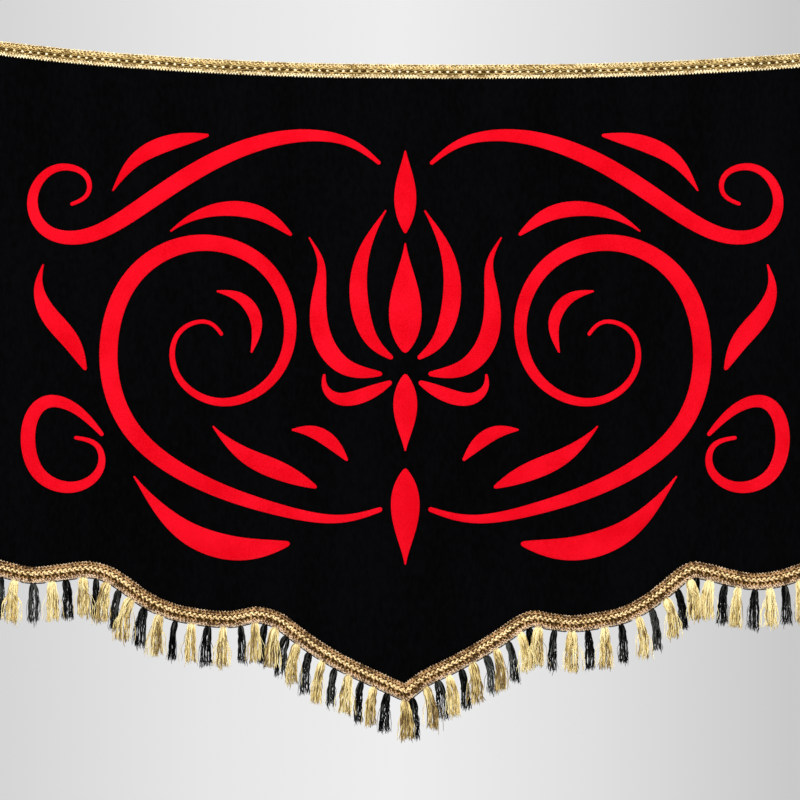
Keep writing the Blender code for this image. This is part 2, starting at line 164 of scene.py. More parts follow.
# Directions down and out of a line, square to it, but turned to a cut direction near each end:
# square + step * lean, where lean grows softly to what the cut needs
def outOfLine(line, firstCut, lastCut):
    step = unit(np.gradient(line, axis=0))
    square = np.stack([step[:, 1], -step[:, 0]], axis=1)
    along = lengthAlong(line)
    lean = 0
    for end, cut, near in ((0, firstCut, 1 - softStep(0, hem["lean"], along)),
                           (-1, lastCut, softStep(along[-1] - hem["lean"], along[-1], along))):
        needed = -cross2(square[end], cut) / cross2(step[end], cut)
        lean = lean + needed * near
    return square + step * np.broadcast_to(lean, len(line))[:, None]


hemLeft, hemRight = smoothLine(hem["left"]), smoothLine(hem["right"])
upright = np.array([0.0, -1.0])
mitre = unit(hemLeft[-1] - hemLeft[-2]) - unit(hemRight[1] - hemRight[0])
hemLine = np.concatenate([hemLeft, hemRight[1:]])
hemOut = np.concatenate([outOfLine(hemLeft, upright, mitre), outOfLine(hemRight, mitre, upright)[1:]])
hemLength = lengthAlong(hemLine)


# Flat place at a length along the lower edge and a distance, or distances, out of its middle line
def onHem(along, across):
    spot, out = lineAt(along, hemLength, hemLine), lineAt(along, hemLength, hemOut)
    return spot + out * np.asarray(across)[..., None]


# Flat place under the upper edge: x, and down by across * sqrt(1 + slope^2)
def onTop(along, across):
    x = along - halfWidth
    slope = (upperEdge(x + mm) - upperEdge(x - mm)) / (2 * mm)
    return np.stack(np.broadcast_arrays(x, upperEdge(x) - across * np.sqrt(1 + slope**2)), axis=-1)


def addObject(name, data):
    piece = bpy.data.objects.new(name, data)
    bpy.context.scene.collection.objects.link(piece)
    return piece


def fill(data, key, arrays, kind=np.float32):
    data.foreach_set(key, np.concatenate(arrays).astype(kind).ravel())


# Faces that shut both ends: one face ("fan"), or a row of faces between opposite points ("strip")
def endFaces(cap, number, uv):
    if cap == "fan":
        return [(number[:, 0, ::-1], uv[:, 0, :-1][:, ::-1]), (number[:, -1], uv[:, -1, :-1])]
    last = number.shape[2] - 1
    k = np.arange((last - 1) // 2)
    near = np.stack([k + 1, k, last - k, last - 1 - k], axis=-1)
    rows = ((0, near), (-1, near[:, ::-1]))
    return [(number[:, row][:, order], uv[:, row][:, order]) for row, order in rows]


# Puts batches of closed rings into one mesh. A batch's points are (pieces, rings, points round, 3).
# UVs are in metres, round the ring and along the piece. Faces are turned out by the signed volume,
# a sum of (corner k x corner k+1) . corner 0
def ringMesh(name, batches, materials, sharp=None):
    points, corners, sizes, uvs, slots, tones = [], [], [], [], [], []
    first = 0
    for batch in batches:
        rings = batch["points"]
        pieces, rows, around = rings.shape[:3]
        number = first + np.arange(pieces * rows * around).reshape(pieces, rows, around)
        after = np.roll(number, -1, axis=2)
        quads = np.stack([number[:, :-1], after[:, :-1], after[:, 1:], number[:, 1:]], axis=-1)
        u = running(np.linalg.norm(np.roll(rings, -1, axis=2) - rings, axis=3).mean(axis=(0, 1)))
        v = running(np.linalg.norm(np.diff(rings.mean(axis=2), axis=1), axis=2))[:, :, None]
        uv = np.stack(np.broadcast_arrays(u, v), axis=-1)
        quadUv = np.stack([uv[:, :-1, :-1], uv[:, :-1, 1:], uv[:, 1:, 1:], uv[:, 1:, :-1]], axis=-2)
        flat = rings.reshape(-1, 3)
        corner = flat[quads.reshape(-1, 4) - first]
        volume = sum((np.cross(corner[:, k], corner[:, k + 1]) * corner[:, 0]).sum() for k in (1, 2))
        turn = -1 if volume < 0 else 1
        for face, faceUv in [(quads, quadUv)] + endFaces(batch["cap"], number, uv):
            size = face.shape[-1]
            face = face.reshape(-1, size)[:, ::turn]
            corners.append(face.ravel())
            sizes.append(np.full(len(face), size))
            uvs.append(faceUv.reshape(-1, size, 2)[:, ::turn].reshape(-1, 2))
            slots.append(np.full(len(face), batch.get("slot", 0)))
        points.append(flat)
        tone = np.asarray(batch.get("tone", 0.5))
        tone = tone.reshape(tone.shape + (1,) * (3 - tone.ndim))
        tones.append(np.broadcast_to(tone, (pieces, rows, around)).ravel())
        first += len(flat)
    sizes = np.concatenate(sizes)
    mesh = bpy.data.meshes.new(name)
    mesh.vertices.add(first)
    fill(mesh.vertices, "co", points)
    mesh.loops.add(int(sizes.sum()))
    fill(mesh.loops, "vertex_index", corners, np.int32)
    mesh.polygons.add(len(sizes))
    mesh.polygons.foreach_set("loop_start", (np.cumsum(sizes) - sizes).astype(np.int32))
    fill(mesh.polygons, "material_index", slots, np.int32)
    fill(mesh.uv_layers.new(name="UVMap").data, "uv", uvs)
    fill(mesh.attributes.new("tone", "FLOAT", "POINT").data, "value", tones)
    mesh.update(calc_edges=True)
    mesh.shade_smooth()
    if sharp:
        mesh.set_sharp_from_angle(angle=math.radians(sharp))
    for material in materials:
        mesh.materials.append(material)
    print(name, "has", int((sizes - 2).sum()), "triangles")
    return addObject(name, mesh)


# Round tubes along paths: path + radius * (cos a * side + sin a * up), side square to path and view.
# Paths are (tubes, steps, 3), and radius is a number or one for each tube or step
def tubes(paths, radius, sides, slot=0, tone=0.5):
    step = unit(np.gradient(paths, axis=1))
    side = unit(np.cross(step, (0, -1, 0)))
    up = np.cross(side, step)
    angle = (tau * np.arange(sides) / sides)[:, None]
    ring = np.cos(angle) * side[:, :, None] + np.sin(angle) * up[:, :, None]
    reach = np.broadcast_to(radius, paths.shape[:2])[:, :, None, None]
    return {"points": paths[:, :, None] + reach * ring, "cap": "fan", "slot": slot, "tone": tone}


def finishPiece(piece, slotName, *nodes):
    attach(piece, "root")
    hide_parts(*nodes)
    return piece


# Material helpers. Constants go on the shader's own sockets, with _ for each space in a socket's name
def newMaterial(name, **sockets):
    material = bpy.data.materials.new(name)
    material.use_nodes = True
    shader = material.node_tree.nodes["Principled BSDF"]
    for socket, value in sockets.items():
        shader.inputs[socket.replace("_", " ")].default_value = value
    return material, material.node_tree, shader


def addNode(tree, kind, inputs=None, **settings):
    node = tree.nodes.new("ShaderNode" + kind)
    for name, value in settings.items():
        setattr(node, name, value)
    for name, value in (inputs or {}).items():
        if isinstance(value, bpy.types.NodeSocket):
            tree.links.new(value, node.inputs[name])
        else:
            node.inputs[name].default_value = value
    return node


def mathOn(tree, operation, *values):
    return addNode(tree, "Math", dict(enumerate(values)), operation=operation).outputs[0]


def objectPlace(tree):
    return addNode(tree, "TexCoord").outputs["Object"]


def threadPlace(tree):
    return addNode(tree, "UVMap", uv_map="UVMap").outputs[0]


def toneOf(tree):
    return addNode(tree, "Attribute", attribute_name="tone").outputs["Fac"]


def noiseOn(tree, place, scale, detail=3.0, stretch=(1, 1, 1)):
    mapped = addNode(tree, "Mapping", {"Vector": place, "Scale": stretch}).outputs[0]
    inputs = {"Vector": mapped, "Scale": scale, "Detail": detail}
    return addNode(tree, "TexNoise", inputs).outputs["Fac"]


def wavesOn(tree, place, direction, scale, distortion, detail=2.0):
    inputs = {"Vector": place, "Scale": scale, "Distortion": distortion, "Detail": detail}
    return addNode(tree, "TexWave", inputs, bands_direction=direction).outputs["Fac"]


def meanOf(tree, first, second):
    return mathOn(tree, "MULTIPLY", mathOn(tree, "ADD", first, second), 0.5)


def ramp(tree, factor, *stops):
    node = addNode(tree, "ValToRGB", {"Fac": factor})
    while len(node.color_ramp.elements) < len(stops):
        node.color_ramp.elements.new(0.5)
    for element, (place, colour) in zip(node.color_ramp.elements, stops):
        element.position = place
        element.color = (*colour, 1)
    return node.outputs["Color"]


def colourInto(tree, shader, factor, *stops):
    tree.links.new(ramp(tree, factor, *stops), shader.inputs["Base Color"])


def bumpInto(tree, shader, height, distance, strength):
    bump = addNode(tree, "Bump", {"Height": height, "Distance": distance, "Strength": strength})
    tree.links.new(bump.outputs[0], shader.inputs["Normal"])


# Camera and light: a straight-on view from two metres, soft light from the upper left
view = {
    "middle": (4.5 * mm, -349 * mm),
    "distance": 2.0,
    "width": 832 * mm,    # what the frame takes in at the banner
    "sensor": 36.0,
}


def addCamera():
    data = bpy.data.cameras.new("view")
    data.sensor_width = view["sensor"]
    data.lens = view["sensor"] * view["distance"] / view["width"]
    camera = addObject("view", data)
    camera.location = (view["middle"][0], -view["distance"], view["middle"][1])
    camera.rotation_euler = (math.pi / 2, 0, 0)
    bpy.context.scene.camera = camera


lights = [    # name, place, size in metres, power in watts
    ("key", (-1.3, -2.3, 1.2), 1.2, 78),
    ("fill", (1.6, -2.2, -0.2), 1.6, 26),
    ("sparkle", (0.5, -2.0, 0.9), 0.25, 12),
    ("back", (-0.6, 2.0, 0.8), 1.6, 40),
]
lightAim = np.array([0, 0, -0.35])
surround = {"Color": (0.93, 0.94, 0.96, 1), "Strength": 0.28}


def addLights():
    for name, at, size, power in lights:
        data = bpy.data.lights.new(name, "AREA")
        data.size = size
        data.energy = power
        lamp = addObject(name, data)
        lamp.location = at
        x, y, z = lightAim - np.array(at)
        lamp.rotation_euler = (math.atan2(math.hypot(x, y), -z), 0, math.atan2(-x, y))
    world = bpy.data.worlds.new("studio")
    world.use_nodes = True
    for socket, value in surround.items():
        world.node_tree.nodes["Background"].inputs[socket].default_value = value
    bpy.context.scene.world = world
    bpy.context.scene.view_settings.view_transform = "Standard"


stage = {
    "wallY": 3.0,
    "floorZ": -1.5,
    "reach": 5.0,
    "floorColour": (0.72, 0.72, 0.73, 1),
    # x on the wall, brightness of its painted glow there
    "greys": [(-1.02, 0.67), (-0.51, 0.79), (0.0, 0.855), (0.51, 0.74), (1.02, 0.585)],
}


# Flat rectangles: a pale wall far behind that glows with painted light, brightest in the middle, and a pale
# floor
def addStage():
    reach, low, back = stage["reach"], stage["floorZ"], stage["wallY"]
    wall = [(-reach, back, low), (reach, back, low), (reach, back, reach), (-reach, back, reach)]
    floor = [(-reach, -reach, low), (reach, -reach, low), (reach, back, low), (-reach, back, low)]
    floorPaint = newMaterial("floor_paint", Base_Color=stage["floorColour"], Roughness=0.9)[0]
    for name, outline, paint in (("wall", wall, wallGlow()), ("floor", floor, floorPaint)):
        mesh = bpy.data.meshes.new(name)
        mesh.from_pydata(outline, [], [(0, 1, 2, 3)])
        mesh.materials.append(paint)
        addObject(name, mesh)


# The wall glows by itself with painted light, brightest in the middle and darker towards both sides
def wallGlow():
    material, tree, shader = newMaterial("wall_glow", Base_Color=(0, 0, 0, 1), Roughness=1.0,
                                         Specular_IOR_Level=0, Emission_Strength=1)
    x = addNode(tree, "SeparateXYZ", {"Vector": objectPlace(tree)}).outputs["X"]
    low, high = stage["greys"][0][0], stage["greys"][-1][0]
    share = addNode(tree, "MapRange", {"Value": x, "From Min": low, "From Max": high}).outputs[0]
    stops = [((at - low) / (high - low), (grey, grey, grey * 1.005)) for at, grey in stage["greys"]]
    tree.links.new(ramp(tree, share, *stops), shader.inputs["Emission Color"])
    return material


addCamera()
addLights()
addStage()
print("camera, light and stage are set")


# Velvet: near black, with faint upright shading from the lie of the pile, and a plain woven back
velvet = {
    "columnStep": 4.4 * mm,
    "endZone": 20 * mm,    # nearer to a side, columns stand closer
    "rows": 92,
    "sideHem": 15 * mm,
    "sideHemExtra": 1.4 * mm,
    "underTopBraid": 1.0 * mm,
    "aboveHemMiddle": 1.0 * mm,
    "stitchIn": 12 * mm,    # from the side
    "stitchFrom": 17 * mm,    # below the upper edge
    "stitchTo": 12 * mm,    # above the middle of the lower braid
    "stitchPitch": 5 * mm,
    "stitchLong": 3.4 * mm,
    "stitchSink": 0.1 * mm,
    "stitchRise": 0.3 * mm,
    "stitchRadius": 0.2 * mm,
}


def velvetPile():
    material, tree, shader = newMaterial("velvet_pile", Roughness=0.95, Specular_IOR_Level=0.02,
                                         Sheen_Weight=0.012, Sheen_Roughness=0.4,
                                         Sheen_Tint=(0.80, 0.84, 0.92, 1))
    place = objectPlace(tree)
    streaks = noiseOn(tree, place, 9, 4, (1.6, 1, 0.35))
    nap = noiseOn(tree, place, 260, 2, (1, 1, 0.5))
    dark, light = (0.0004, 0.0004, 0.0005), (0.0013, 0.0014, 0.0017)
    colourInto(tree, shader, meanOf(tree, streaks, nap), (0.36, dark), (0.62, light))
    bumpInto(tree, shader, noiseOn(tree, place, 1500, 2), 0.25 * mm, 0.6)
    return material


def velvetBack():
    material, tree, shader = newMaterial("velvet_back", Roughness=0.9, Specular_IOR_Level=0.1)
    place = objectPlace(tree)
    weave = mathOn(tree, "MULTIPLY", wavesOn(tree, place, "X", 320, 1.0), wavesOn(tree, place, "Z", 320, 1.0))
    colourInto(tree, shader, weave, (0.1, (0.004, 0.004, 0.005)), (0.9, (0.016, 0.016, 0.018)))
    bumpInto(tree, shader, weave, 0.2 * mm, 0.5)
    return material


# Sheet: at each length along the hem a closed ring goes up the front and down the back. Near the sides
# front and back close as half * sqrt(1 - (1 - distance / half)^2), and the side hems make the back thicker
def makeVelvet():
    ends = np.array([0, 0.12, 0.45, 0.95, 1.45, 3, 6, 9, 12, 13.6, 14.4, 15.2, 17]) * mm
    inner = np.arange(velvet["endZone"], hemLength[-1] - velvet["endZone"], velvet["columnStep"])
    along = np.concatenate([ends, inner, hemLength[-1] - ends[::-1]])
    foot = onHem(along, -velvet["aboveHemMiddle"])
    x = onHem(along, 0)[:, 0]
    head = np.stack([x, upperEdge(x) - velvet["underTopBraid"]], axis=1)
    share = np.linspace(0, 1, velvet["rows"])[None, :, None]
    flat = foot[:, None] * (1 - share) + head[:, None] * share
    fromSide = halfWidth - np.abs(x)
    extra = velvet["sideHemExtra"] * (1 - softStep(velvet["sideHem"] - mm, velvet["sideHem"], fromSide))
    half = (cloth["thick"] + extra) / 2
    swell = np.sqrt(1 - (1 - np.clip(fromSide / half, 0, 1)) ** 2)
    centre = extra / 2
    front = onCloth(flat, (centre - half * swell)[:, None])
    back = onCloth(flat, (centre + half * swell)[:, None])
    rings = np.concatenate([front, back[:, ::-1]], axis=1)[None]
    hemThread = newMaterial("hem_thread", Base_Color=(0.012, 0.012, 0.014, 1), Roughness=0.5)[0]
    batches = [{"points": rings, "cap": "strip"}] + sideHemStitches()
    piece = ringMesh("velvet_cloth", batches, [velvetPile(), velvetBack(), hemThread], sharp=40)
    faces = piece.data.polygons
    normals = np.zeros(len(faces) * 3, np.float32)
    slots = np.zeros(len(faces), np.int32)
    faces.foreach_get("normal", normals)
    faces.foreach_get("material_index", slots)
    backs = (slots == 0) & (normals.reshape(-1, 3)[:, 1] > 0.3)    # these faces are the woven side
    faces.foreach_set("material_index", np.where(backs, 1, slots).astype(np.int32))
    return piece


# Short stitches down the turned side hems: each a shallow arc, rise * sin(pi * t) out of the pile
def sideHemStitches():
    x = halfWidth - velvet["stitchIn"]
    t = np.linspace(0, 1, 5)
    depth = -cloth["thick"] / 2 + velvet["stitchSink"] - velvet["stitchRise"] * np.sin(np.pi * t)
    batches = []
    for side in (-1, 1):
        top = float(upperEdge(side * x)) - velvet["stitchFrom"]
        foot = float(np.interp(side * x, hemLine[:, 0], hemLine[:, 1])) + velvet["stitchTo"]
        z = np.arange(top, foot, -velvet["stitchPitch"])[:, None] - t * velvet["stitchLong"]
        flat = np.stack([np.full(z.shape, side * x), z], axis=-1)
        batches.append(tubes(onCloth(flat, depth), velvet["stitchRadius"], 4, 2))
    return batches


velvetCloth = finishPiece(makeVelvet(), "velvet", "panel")
print("velvet cloth is made")


# Metallic thread, wrapped with fine foil: its tone, with fine and broad changes, goes from dark to light
def threadMaterial(name, light, middle, dark, metallic, roughness):
    material, tree, shader = newMaterial(name, Metallic=metallic, Roughness=roughness)
    place = objectPlace(tree)
    changes = mathOn(tree, "ADD", noiseOn(tree, place, 700), noiseOn(tree, place, 45, 2))
    shade = mathOn(tree, "MULTIPLY_ADD", mathOn(tree, "ADD", changes, -1.0), 0.8, toneOf(tree))
    colourInto(tree, shader, shade, (0.12, dark), (0.5, middle), (0.88, light))
    bumpInto(tree, shader, wavesOn(tree, threadPlace(tree), "DIAGONAL", 900, 2.0, 1.0), 0.08 * mm, 0.7)
    return material


# Woven tape or ground: fine ribs across its length
def ribMaterial(name, dark, light, scale, distortion, detail, strength, **sockets):
    material, tree, shader = newMaterial(name, **sockets)
    ribs = wavesOn(tree, threadPlace(tree), "Y", scale, distortion, detail)
    colourInto(tree, shader, ribs, dark, light)
    bumpInto(tree, shader, ribs, 0.15 * mm, strength)
    return material


# Light, middle and dark colour of each thread, then how metallic and how rough it is
threadColours = {
    "gold": [(1.0, 0.80, 0.40), (0.78, 0.55, 0.20), (0.16, 0.09, 0.012), 0.45, 0.34],
    "pale_gold": [(1.0, 0.88, 0.58), (0.86, 0.66, 0.34), (0.28, 0.17, 0.045), 0.45, 0.32],
    "brown_gold": [(0.66, 0.40, 0.18), (0.28, 0.145, 0.042), (0.06, 0.024, 0.004), 0.35, 0.42],
    "rope_gold": [(1.0, 0.79, 0.43), (0.78, 0.52, 0.21), (0.12, 0.055, 0.010), 0.45, 0.32],
    "rose_gold": [(0.92, 0.68, 0.45), (0.47, 0.30, 0.16), (0.12, 0.058, 0.020), 0.35, 0.42],
}
threads = {name: threadMaterial(name + "_thread", *colours) for name, colours in threadColours.items()}
# Ground of both braids: dark woven thread, darkened further as painted shade for the gaps between cords
groundWithGapShade = ribMaterial("braid_ground_gap_shade", (0.1, (0.020, 0.008, 0.0004)), (0.9, (0.085, 0.038, 0.001)),
                         620, 1.5, 1.0, 0.8, Roughness=0.8, Specular_IOR_Level=0.1)


# Smooth unevenness along a braid: one random value for each stretch, joined up
def uneven(along, stretch, amount):
    ends = np.arange(along.min() - stretch, along.max() + 2 * stretch, stretch)
    return np.interp(along, ends, fineDraw.normal(0, amount, len(ends)))


# A slow wave along a row, between -0.25 and 1.05
def slantWave(along):
    return 0.4 + 0.65 * np.sin(along / (31 * mm) + np.sin(along / (83 * mm)))


# Ropes that run the whole length. Strand k's middle is at across = at + wide * sin(turn + lag) and
# height = lift + rise * cos(turn + lag): a twist, or a crossing pair. In a plait the height is
# lift + rise * sin(2 * (turn + lag)), so each strand lies on top from the middle out to either edge.
# A pinch above 1 makes the sine's crossings longer, and plies wind round a strand's middle at plyOut.
# A slant shears the row: along - slant * slantWave * (across - at). Sizes are in mm
ropeBase = {
    "wide": 1.0, "pitch": 16.6, "start": 0, "strands": 2, "plait": False, "pinch": 1.4, "slant": 1.5,
    "lift": 0.95, "rise": 0.25, "plies": 1, "plyOut": 0, "plyPitch": 5.0, "radius": 0.38, "shade": 0,
    "tone": 0.36,
}
ropeStray = {    # stretch and amount of each unevenness
    "turn": (9 * mm, 0.22), "across": (6 * mm, 0.07), "height": (6 * mm, 0.03), "tone": (4 * mm, 0.12),
}


def rope(**changes):
    return {**ropeBase, **changes}


def ropeRow(row, total, flatAt, patchy):
    step = min(row["pitch"] / 6, row["plyPitch"] / 4, 1.2) * mm    # fine enough for its turns
    along = np.linspace(0, total, round(total / step) + 1)
    lag = tau * np.arange(row["strands"])[:, None, None] / row["strands"]
    turns = round(total / (row["pitch"] * mm))
    turn = tau * (turns * along / total + row["start"]) + lag + uneven(along, *ropeStray["turn"])
    over = 2 * turn - np.pi / 2 if row["plait"] else turn
    wind = tau * along / (row["plyPitch"] * mm) + tau * np.arange(row["plies"])[:, None] / row["plies"]
    swing = np.sign(np.sin(turn)) * np.abs(np.sin(turn)) ** row["pinch"]
    across = row["at"] + row["wide"] * swing + row["plyOut"] * np.cos(wind)
    across = across + uneven(along, *ropeStray["across"])
    height = row["lift"] + row["rise"] * np.cos(over) + row["plyOut"] * np.sin(wind)
    height = height + uneven(along, *ropeStray["height"])
    stretch, amount = ropeStray["tone"]
    # Painted light and shade: the tone is lighter where a strand lies high and darker where it sinks
    tone = row["tone"] + row["shade"] * np.cos(over) + 0 * wind + uneven(along, stretch, amount * patchy)
    across = (across * mm).reshape(-1, len(along))
    height = (height * mm).reshape(across.shape)
    slant = row["slant"] * slantWave(along)
    flat = flatAt(np.clip(along - slant * (across - row["at"] * mm), 0, total), across)
    return tubes(onCloth(flat, laidBack - height), row["radius"] * mm, 4, 0, tone.reshape(across.shape))


# A cord that loops back and forth. With turn = tau * place / pitch it is at
# along = place + gather * sin(turn) + lean * cos(turn), across = at - wide / 2 * cos(turn),
# height = lift + rise * |sin(turn)|, so the turns at both edges lie low. Sizes are in mm
loopBase = {
    "wide": 2.0, "pitch": 4.075, "gather": 0, "lean": 0, "lift": 0.5, "rise": 0.5, "radius": 0.58,
    "shade": 0.25, "slot": 1, "tone": 0.52, "steps": 12, "sides": 4,
}
loopStray = {    # the tone strays twice, over half a loop and over a longer stretch
    "along": 0.20, "across": 0.14, "height": 0.05, "tone": 0.14, "toneFar": 0.16, "toneStretch": 4 * mm,
}


def loop(**changes):
    return {**loopBase, **changes}


def loopRow(row, total, flatAt, patchy):
    stretch = row["pitch"] * mm
    loops = round(total / stretch)
    place = np.linspace(0, total, loops * row["steps"] + 1)
    turn = tau * loops * place / total
    ahead = row["gather"] * np.sin(turn) + row["lean"] * np.cos(turn)
    along = np.clip(place + (ahead + uneven(place, stretch, loopStray["along"])) * mm, 0, total)
    across = row["at"] - (row["wide"] / 2 + uneven(place, stretch, loopStray["across"])) * np.cos(turn)
    height = row["lift"] + row["rise"] * np.abs(np.sin(turn)) + uneven(place, stretch, loopStray["height"])
    # Painted light and shade: one leg of each loop is lighter and the other darker
    tone = row["tone"] + row["shade"] * np.sin(turn + 0.6)
    tone = tone + uneven(place, 0.5 * stretch, loopStray["tone"] * patchy)
    tone = tone + uneven(place, loopStray["toneStretch"], loopStray["toneFar"] * patchy)
    path = onCloth(flatAt(along, across * mm), laidBack - height * mm)
    return tubes(path[None], row["radius"] * mm, row["sides"], row["slot"], tone[None])


# The braid's dark woven ground, its darkness partly painted shade for the gaps: a closed strip whose front
# follows (across, height) rows, in mm
def braidGround(profile, total, flatAt, slot, step):
    along = np.linspace(0, total, round(total / step) + 1)[:, None]
    across = np.array([far for far, height in profile] + [profile[-1][0], profile[0][0]]) * mm
    depth = laidBack - np.array([height for far, height in profile] + [0, 0]) * mm
    return {"points": onCloth(flatAt(along, across), depth)[None], "cap": "fan", "slot": slot}


# Small round knots: ellipsoids centre + (cos b * cos a * w, cos b * sin a * d, sin b * h)
def knots(centres, size, slot, tone):
    rows, around = 8, 12
    b = np.linspace(-0.47, 0.47, rows)[:, None] * np.pi
    a = tau * np.arange(around) / around
    ball = np.stack([np.cos(b) * np.cos(a), np.cos(b) * np.sin(a), np.sin(b) + 0 * a], axis=-1)
    return {"points": centres[:, None, None] + ball * size, "cap": "fan", "slot": slot, "tone": tone}


# Upper braid: rows of fine loops, a dark band where three crossing pairs leave slanting windows round
# a row of knots, and a bright toothed edge
upperBraid = {
    "patchy": 1.0,    # how much the thread's tone changes along each row
    "ground": [(0.9, 0.45), (5.0, 0.6), (11.0, 0.6), (14.8, 0.4)],
    "groundStep": 4 * mm,
    "ropes": [
        rope(at=5.35, wide=0.95, radius=0.48, tone=0.50),
        rope(at=8.45, wide=1.6, start=0.25, pinch=1, tone=0.30),
        rope(at=10.9, lift=0.85),
    ],
    "loops": [
        loop(at=0.95, wide=0.7, pitch=4.15, lift=0.8, rise=0.3, radius=0.38, shade=0, tone=0.78),
        loop(at=2.0, pitch=4.15, gather=-0.35, lean=0.7, lift=0.6, rise=0.45, radius=0.64, shade=0.26,
             tone=0.42),
        loop(at=3.95, wide=2.3, pitch=4.15, gather=0.4, lean=-0.7, lift=0.65, rise=0.4, radius=0.62,
             shade=0.26, slot=0, tone=0.56),
        loop(at=12.8, wide=2.2, pitch=3.1, lean=0.5, lift=0.8, rise=0.45, radius=0.62, shade=0.14, tone=0.56),
        loop(at=14.4, wide=1.8, pitch=3.1, gather=0.3, rise=0.4, radius=0.60, shade=0, tone=0.74),
    ],
    "knotAt": 8.4 * mm,
    "knotOut": 1.2 * mm,
    "knotPitch": 8.3 * mm,
    "knotSize": np.array([1.6, 0.8, 1.2]) * mm,
    "knotTone": (0.45, 0.95),
}


def braidBatches(braid, total, flatAt, groundSlot):
    batches = [braidGround(braid["ground"], total, flatAt, groundSlot, braid["groundStep"])]
    batches += [ropeRow(row, total, flatAt, braid["patchy"]) for row in braid["ropes"]]
    batches += [loopRow(row, total, flatAt, braid["patchy"]) for row in braid["loops"]]
    return batches


def makeUpperBraid():
    total = 2 * halfWidth
    batches = braidBatches(upperBraid, total, onTop, 2)
    count = round(total / upperBraid["knotPitch"])
    along = (np.arange(count) + 0.5) * total / count
    centres = onCloth(onTop(along, upperBraid["knotAt"]), laidBack - upperBraid["knotOut"])
    tone = fineDraw.uniform(*upperBraid["knotTone"], count)
    batches.append(knots(centres, upperBraid["knotSize"], 1, tone))
    return ringMesh("upper_braid", batches, [threads["gold"], threads["pale_gold"], groundWithGapShade])


upperBraidPiece = finishPiece(makeUpperBraid(), "braid_gold", "top_braid")


# Lower braid: a bright plait of three two-ply strands along the middle, on both sides brown loops drawn
# together so that the dark ground, partly painted shade, shows between them, then rosy loops and an edge of
# small picots
lowerBraid = {
    "patchy": 1.8,
    "width": 17.0 * mm,
    "ground": [(0.7, 0.4), (4.6, 0.6), (8.0, 0.8), (11.0, 0.5), (15.8, 0.4)],
    "groundStep": 2.5 * mm,
    "ropes": [
        rope(at=7.15, wide=1.4, pitch=16.3, strands=3, plait=True, pinch=1, slant=0, lift=1.4, rise=0.85,
             plies=2, plyOut=0.55, radius=0.74, shade=0.90, tone=0.14),
    ],
    "loops": [
        loop(at=0.8, wide=1.3, pitch=3.26, gather=-0.2, lean=0.3, lift=0.4, radius=0.48, slot=2, steps=8,
             sides=3),
        loop(at=2.4, wide=2.1, gather=-0.3, lean=0.5, lift=0.45, rise=0.6),
        loop(at=4.3, wide=1.9, gather=0.6, lean=-0.4, radius=0.60, shade=0.35, tone=0.62),
        loop(at=9.8, wide=3.2, pitch=8.15, gather=1.3, lean=-0.9, lift=0.7, rise=0.55, radius=0.66, tone=0.56,
             steps=16),
        loop(at=12.3, gather=-0.4, lean=0.5, lift=0.45, rise=0.6, radius=0.62, shade=0.30, tone=0.60),
        loop(at=14.3, pitch=3.26, lean=0.4, lift=0.45, rise=0.6, shade=0.30, slot=2, tone=0.62, steps=8),
        loop(at=16.1, wide=1.8, gather=0.5, lean=0.3, slot=2, tone=0.72, sides=3),
    ],
}


def makeLowerBraid():
    def fromTop(along, across):
        return onHem(along, across - lowerBraid["width"] / 2)

    batches = braidBatches(lowerBraid, hemLength[-1], fromTop, 3)
    colours = [threads["rope_gold"], threads["brown_gold"], threads["rose_gold"], groundWithGapShade]
    return ringMesh("lower_braid_cords", batches, colours)


lowerBraidPiece = finishPiece(makeLowerBraid(), "braid_brown_gold", "lower_braid")
print("braids are made")


# Fringe: alternate black and gold tassels on two narrow tapes behind the lower braid
fringe = {
    # low x, high x and number of tassels between neighbouring crests, in mm
    "runs": [(-450, -318, 8), (-318, -140, 12), (-140, 10.5, 12), (10.5, 142, 11), (142, 308, 11),
             (308, 450, 10)],
    "pointX": 10.5,
    "rootWidth": 5.2 * mm,
    "alongShift": 1.2 * mm,
    "tapeFrom": 2.0 * mm,
    "tapeTo": 8.2 * mm,
    "tapeThick": 0.7 * mm,
    "tapeStep": 3 * mm,
    "length": 41 * mm,
    "lengthShift": 1.8 * mm,
    "lean": 12.5 * mm,    # how far the feet swing out where the hem slopes
    "sway": 1.3 * mm,
    "halfSpread": 5.8 * mm,
    "leastSpread": 0.84,
    "locks": 4,
    "lockFill": 0.45,
    "stagger": 0.85 * mm,
    "forwardDrop": 8 * mm,
    "rootRise": 1.2 * mm,
    "drops": (0, 4, 20, 41),    # where the half widths count, in mm
    "gold": {
        "slot": "yarn_gold", "yarns": 48, "radius": 0.60, "forward": 1.8 * mm, "header": 3.4,
        "loose": 0.25, "stray": 1.9, "lockPull": 0.2, "parted": 0.12, "fullness": (0.74, 1.06),
        "halfWidths": (2.6, 4.8, 6.6, 7.3), "tone": 0.42, "toneSpread": 0.29,
        "yarn": [(1.0, 0.86, 0.45), (0.72, 0.53, 0.18), (0.17, 0.095, 0.018), 0.42, 0.5, 0.36],
        "tape": [(0.2, (0.30, 0.17, 0.05)), (0.8, (0.70, 0.48, 0.20))],
    },
    "black": {
        "slot": "yarn_black", "yarns": 44, "radius": 0.50, "forward": -1.8 * mm, "header": 12.4,
        "loose": 0.17, "stray": 1.5, "lockPull": 0.4, "parted": 0.3, "fullness": (0.72, 1.0),
        "halfWidths": (1.9, 4.0, 5.5, 6.3), "tone": 0.45, "toneSpread": 0.24,
        # the black yarn's light colour is a grey that paints highlights on its yarns of high tone
        "yarn": [(0.090, 0.096, 0.084), (0.0026, 0.0025, 0.0023), (0.0006, 0.0006, 0.0006), 0.36, 0.04, 0.0],
        "tape": [(0.2, (0.002, 0.002, 0.002)), (0.8, (0.008, 0.008, 0.008))],
    },
}
